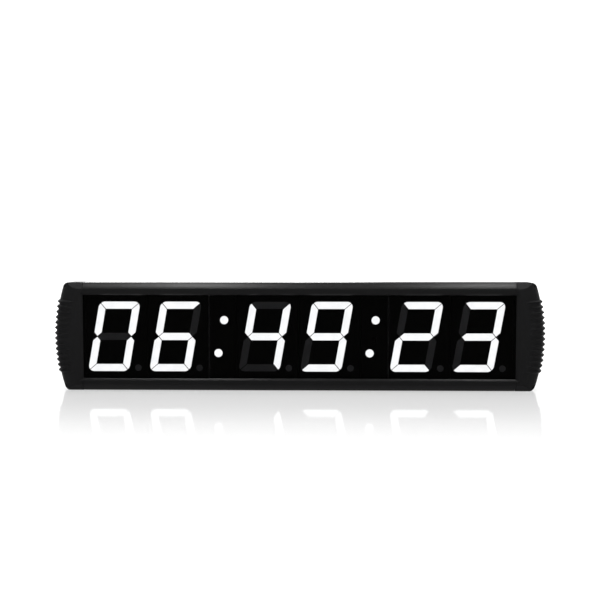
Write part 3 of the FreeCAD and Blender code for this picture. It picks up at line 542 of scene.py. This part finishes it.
def along_rail(a, b):
    """One of the rail's long outer corners: the front bevel's, the window lip's and the back's."""
    if abs(a.x - b.x) < 2 * RAIL_END - 2:
        return False
    inward = min(a.z, CASE_TOP - a.z)
    back = a.y - CASE_FRONT
    corners = ((FRONT_BEVEL, 0), (0, FRONT_BEVEL), (0, 15.2), (3.0, 18.5), (40, 0), (40, 18.5))
    return any(abs(back - y) < 0.05 and abs(inward - z) < 0.05 for y, z in corners)


def rails_and_caps():
    """The rails and caps with their seam opened to a fine groove, and the rails' long corners eased."""
    for node, name in (("top_rail", "top_extrusion"), ("bottom_rail", "bottom_extrusion")):
        piece = merged_copy(node)
        bevel_edges(piece, at_seam, SEAM_BEVEL, segments=1)
        bevel_edges(piece, along_rail, RAIL_BEVEL)
        finished(piece, name, stands_for=[node], angle=30)
    for node, name in (("left_end_cap", "left_cap_moulding"), ("right_end_cap", "right_cap_moulding")):
        piece = merged_copy(node)
        bevel_edges(piece, at_seam, SEAM_BEVEL, segments=1)
        finished(piece, name, stands_for=[node], angle=32)


def shape(piece, chosen, mode):
    """Selects the faces or edges that chosen picks by their middle, in millimetres, and enters edit mode."""
    only(piece)
    bpy.ops.object.mode_set(mode="EDIT")
    bpy.ops.mesh.select_mode(type=mode)
    bpy.ops.mesh.select_all(action="DESELECT")
    bpy.ops.object.mode_set(mode="OBJECT")
    mesh = piece.data
    parts = mesh.polygons if mode == "FACE" else mesh.edges
    for part in parts:
        corners = [mesh.vertices[index].co / MM for index in part.vertices]
        part.select = bool(chosen(sum(corners, Vector()) / len(corners), corners))
    bpy.ops.object.mode_set(mode="EDIT")


def turned_blank(radius, height, sides=40):
    """A round blank standing on the origin, in millimetres."""
    bpy.ops.object.select_all(action="DESELECT")
    bpy.ops.mesh.primitive_cylinder_add(
        vertices=sides, radius=radius * MM, depth=height * MM, location=(0, 0, height * MM / 2)
    )
    blank = bpy.context.object
    bpy.ops.object.transform_apply(location=True, rotation=True, scale=True)
    return blank


def block(size, middle, turn=0.0):
    """A square-edged block, in millimetres, turned about its upright axis."""
    bpy.ops.object.select_all(action="DESELECT")
    bpy.ops.mesh.primitive_cube_add(size=1, location=Vector(middle) * MM, rotation=(0, 0, turn))
    cube = bpy.context.object
    cube.scale = Vector(size) * MM
    bpy.ops.object.transform_apply(location=True, rotation=True, scale=True)
    return cube


def take_away(piece, tool):
    """Cuts a tool's shape out of a piece."""
    only(piece)
    bpy.ops.object.modifier_add(type="BOOLEAN")
    modifier = piece.modifiers[-1]
    modifier.operation = "DIFFERENCE"
    modifier.solver = "EXACT"
    modifier.object = tool
    bpy.ops.object.modifier_apply(modifier=modifier.name)
    bpy.data.objects.remove(tool, do_unlink=True)


def joined(pieces):
    """Makes several pieces one."""
    bpy.ops.object.select_all(action="DESELECT")
    for piece in pieces:
        piece.select_set(True)
    bpy.context.view_layer.objects.active = pieces[0]
    bpy.ops.object.join()
    return pieces[0]


def rim(height):
    """Picks the edges round the top of a turned blank."""
    return lambda middle, corners: all(abs(corner.z - height) < 0.01 for corner in corners)


def pan_head_screw(head_radius, head_height, shank_length):
    """A domed head with a cross recess, on its shank, pointing up from the face that it holds."""
    head = turned_blank(head_radius, head_height)
    shape(head, rim(head_height), "EDGE")
    bpy.ops.mesh.bevel(offset=head_height * 0.55 * MM, segments=4, profile=0.6, affect="EDGES")
    bpy.ops.object.mode_set(mode="OBJECT")
    for turn in (0, math.pi / 2):
        arm = block((head_radius * 1.15, head_radius * 0.27, 1.2), (0, 0, head_height), turn)
        take_away(head, arm)
    shank = turned_blank(head_radius * 0.5, shank_length + 0.4, 20)
    shank.location.z = -shank_length * MM
    return joined([head, shank])


def screw_set(name, node, screw, places):
    """Copies one screw to each of its places; each place also says which way its head points."""
    copies = []
    for place, pointing in places:
        copy = screw.copy()
        copy.data = screw.data.copy()
        bpy.context.scene.collection.objects.link(copy)
        copy.location = Vector(place) * MM
        copy.rotation_euler = Vector(pointing).to_track_quat("Z", "Y").to_euler()
        copies.append(copy)
    bpy.data.objects.remove(screw, do_unlink=True)
    finished(joined(copies), name, stands_for=[node], finish=BLACK_OXIDE)


def screws():
    """The back panel's screws, in its posts, and the caps' screws, in their wells."""
    panel_back = 11.1
    posts = [(side * across, up) for side in (-1, 1) for across in (304, 142, 122) for up in (30, 130)]
    posts += [(across, up) for across in (195, 285) for up in (51, 105)]
    places = [((across, panel_back, up), (0, 1, 0)) for across, up in posts]
    panel_screw = pan_head_screw(head_radius=2.7, head_height=1.7, shank_length=5.5)
    screw_set("panel_screw_set", "panel_screws", panel_screw, places)
    well_floor = RAIL_END + 3.5
    places = [
        ((side * well_floor, back, up), (side, 0, 0))
        for side in (-1, 1)
        for back in (-6.7, 14.3)
        for up in (5.4, 154.6)
    ]
    cap_screw = pan_head_screw(head_radius=3.1, head_height=2.4, shank_length=14)
    screw_set("cap_screw_set", "cap_screws", cap_screw, places)


CONTROLS_UP = 58


def set_keys():
    """Silicone keys: a round stem with a softened rim and a dished top, on a thin flange."""
    flange, stem, thin, tall = 4.0, 3.0, 0.6, 4.2
    key_foot = 8.9
    for number, across in enumerate((205, 219, 233), 1):
        key = turned_blank(flange, thin, 48)
        shape(key, lambda middle, corners: middle.z > thin - 0.01, "FACE")
        bpy.ops.mesh.inset(thickness=(flange - stem) * MM)
        bpy.ops.mesh.extrude_region_move(TRANSFORM_OT_translate={"value": (0, 0, (tall - thin) * MM)})
        bpy.ops.object.mode_set(mode="OBJECT")
        shape(key, rim(tall), "EDGE")
        bpy.ops.mesh.bevel(offset=0.7 * MM, segments=4, profile=0.5, affect="EDGES")
        bpy.ops.object.mode_set(mode="OBJECT")
        shape(key, lambda middle, corners: middle.z > tall - 0.01 and len(corners) > 8, "FACE")
        bpy.ops.mesh.inset(thickness=0.8 * MM)
        bpy.ops.mesh.inset(thickness=0.6 * MM)
        bpy.ops.transform.translate(value=(0, 0, -0.3 * MM))
        bpy.ops.object.mode_set(mode="OBJECT")
        key.rotation_euler = (-math.pi / 2, 0, 0)
        key.location = Vector((across, key_foot, CONTROLS_UP)) * MM
        body = ("key_one", "key_two", "key_three")[number - 1]
        node = f"set_key_{number}"
        finished(key, f"soft_key_{number}", body, [node], finish=SILICONE, angle=50)


def slide_knob():
    """The power switch's knob: a thin slider plate, and a grip with four grooves across its top."""
    rest_across, knob_foot = 260, 8.7
    plate = block((9, 5.6, 0.7), (0, 0, 0.35))
    shape(plate, lambda middle, corners: True, "EDGE")
    bpy.ops.mesh.bevel(offset=0.15 * MM, segments=2, affect="EDGES")
    bpy.ops.object.mode_set(mode="OBJECT")
    grip = block((3.4, 3.4, 3.5), (0, 0, 2.25))
    shape(grip, lambda middle, corners: True, "EDGE")
    bpy.ops.mesh.bevel(offset=0.3 * MM, segments=3, affect="EDGES")
    bpy.ops.object.mode_set(mode="OBJECT")
    grooves, pitch = 4, 0.72
    for step in range(grooves):
        across = (step - (grooves - 1) / 2) * pitch
        take_away(grip, block((pitch / 2, 4, 0.7), (across, 0, 4)))
    knob = joined([plate, grip])
    knob.rotation_euler = (-math.pi / 2, 0, 0)
    knob.location = Vector((rest_across, knob_foot, CONTROLS_UP)) * MM
    finished(knob, "slide_knob", "power_knob", ["power_switch_knob"], finish=ACETAL)


def hangers():
    """The wall hangers with their sheet's sheared edges eased."""
    for side in ("left", "right"):
        piece = merged_copy(f"{side}_hanger")
        only(piece)
        bpy.ops.object.modifier_add(type="BEVEL")
        modifier = piece.modifiers[-1]
        modifier.width, modifier.segments = 0.25 * MM, 2
        modifier.limit_method, modifier.angle_limit = "ANGLE", math.radians(50)
        bpy.ops.object.modifier_apply(modifier=modifier.name)
        body = f"{side}_hanger"
        finished(piece, f"{side}_wall_hanger", body, [body], angle=30)


# ---------------------------------------------------------------- stage, light and camera
def stage():
    """A pale polished floor, a lit backdrop behind it, and walls that only the camera sees."""
    bpy.ops.object.select_all(action="DESELECT")
    bpy.ops.mesh.primitive_plane_add(size=14, location=(0, 0, 0))
    floor = bpy.context.object
    floor.name = "floor"
    material, tree, place = new_material("polished_pale_floor")
    away = add(tree, "ShaderNodeSeparateXYZ", {"Vector": place})
    distance = add(tree, "ShaderNodeMath", {0: away.outputs["Y"]}, operation="ABSOLUTE")
    # the lamps reach less far than the floor does, so it glows more the further away it is
    far = add(
        tree,
        "ShaderNodeMapRange",
        {
            "Value": distance.outputs["Value"],
            "From Min": 0.0,
            "From Max": 1.5,
            "To Min": 0.73,
            "To Max": 1.1,
        },
    )
    white = add(tree, "ShaderNodeBsdfDiffuse", {"Color": linear("b4b4b4")})
    glow = add(tree, "ShaderNodeEmission", {"Color": linear("ffffff"), "Strength": far.outputs["Result"]})
    lit = add(tree, "ShaderNodeAddShader", {0: white.outputs["BSDF"], 1: glow.outputs["Emission"]})
    polish = add(tree, "ShaderNodeBsdfGlossy", {"Color": linear("ffffff"), "Roughness": 0.06})
    # the polish shows close to the timer, and is lost 0.6 m in front of it and behind it
    share = add(
        tree,
        "ShaderNodeMapRange",
        {
            "Value": distance.outputs["Value"],
            "From Min": 0.02,
            "From Max": 0.62,
            "To Min": 0.31,
            "To Max": 0.0,
        },
        interpolation_type="SMOOTHSTEP",
    )
    mix = add(
        tree,
        "ShaderNodeMixShader",
        {"Fac": share.outputs["Result"], 1: lit.outputs["Shader"], 2: polish.outputs["BSDF"]},
    )
    add(tree, "ShaderNodeOutputMaterial", {"Surface": mix.outputs["Shader"]})
    floor.data.materials.append(material)
    floor.visible_glossy = False

    bpy.ops.mesh.primitive_plane_add(size=14, location=(0, 6.0, 2.0), rotation=(math.pi / 2, 0, 0))
    backdrop = bpy.context.object
    backdrop.name = "backdrop"
    bpy.ops.mesh.primitive_cylinder_add(vertices=48, radius=9, depth=14, location=(0, 0, 5))
    walls = bpy.context.object
    walls.name = "studio_walls"
    walls.visible_glossy = walls.visible_diffuse = walls.visible_shadow = False
    material, tree, _ = new_material("lit_backdrop")
    glow = add(tree, "ShaderNodeEmission", {"Color": linear("ffffff"), "Strength": 1.15})
    add(tree, "ShaderNodeOutputMaterial", {"Surface": glow.outputs["Emission"]})
    for piece in (backdrop, walls):
        piece.data.materials.append(material)


def softbox(name, place, target, size, power, mirrored=True):
    """A rectangular lamp aimed at a target; mirrored says whether glossy faces show it."""
    light = bpy.data.lights.new(name, "AREA")
    light.shape = "RECTANGLE"
    light.size, light.size_y = size
    light.energy = power
    lamp = bpy.data.objects.new(name, light)
    lamp.location = place
    lamp.rotation_euler = (Vector(target) - Vector(place)).to_track_quat("-Z", "Y").to_euler()
    lamp.visible_glossy = mirrored
    bpy.context.scene.collection.objects.link(lamp)


def lights():
    """Three narrow softboxes above, which the top bevel mirrors, one behind, and a wash for the floor."""
    world = bpy.data.worlds.new("studio")
    bpy.context.scene.world = world
    world.use_nodes = True
    # a dim world keeps the black faces black
    fill = world.node_tree.nodes["Background"].inputs
    fill["Color"].default_value = linear("ffffff")
    fill["Strength"].default_value = 0.14
    narrow = (0.16, 0.5)
    softbox("left_softbox", (-0.28, -0.05, 1.15), (-0.28, 0, 0), narrow, 2.2)
    softbox("right_softbox", (0.47, -0.05, 1.15), (0.47, 0, 0), narrow, 2.2)
    softbox("end_softbox", (-0.62, -0.05, 1.15), (-0.5, 0, 0), (0.12, 0.5), 0.5)
    softbox("back_softbox", (-0.4, 1.6, 1.0), (0, 0, 0.08), (1.2, 0.8), 18)
    softbox("floor_wash", (0, -0.4, 2.6), (0, 0, 0), (3.0, 3.0), 17, mirrored=False)


def camera():
    """The camera stands a little above the timer, in front of its middle."""
    elevation, azimuth, distance = math.radians(5.8), math.radians(1.2), 1.35
    middle = Vector((0.0018, 0, 0.08))
    away = Vector((math.sin(azimuth), -math.cos(azimuth), math.tan(elevation))).normalized()
    data = bpy.data.cameras.new("camera")
    eye = bpy.data.objects.new("camera", data)
    bpy.context.scene.collection.objects.link(eye)
    eye.location = middle + away * distance
    # the timer's width of 0.732 m takes up a little over four fifths of the view
    data.sensor_width = 36.0
    data.lens = 54.45
    # the timer stands low in the view, which is centred this far above its middle
    aim_above = 0.0535
    aim = middle + Vector((0, 0, aim_above))
    eye.rotation_euler = (aim - eye.location).to_track_quat("-Z", "Y").to_euler()
    bpy.context.scene.camera = eye


# ---------------------------------------------------------------- build
# plain colours, as they are given, with no film curve
bpy.context.scene.view_settings.view_transform = "Standard"
paint_nodes()
rails_and_caps()
screws()
set_keys()
slide_knob()
hangers()
for node, name, slot in (
    ("dc_inlet", "inlet_moulding", "inlet_black"),
    ("ir_receiver", "receiver_lens", "receiver_dark"),
    ("power_leads", "power_lead_pair", "lead_red"),
    ("buzzer", "buzzer_can", "chip_black"),
):
    finished(merged_copy(node), name, stands_for=[node])
stage()
lights()
camera()
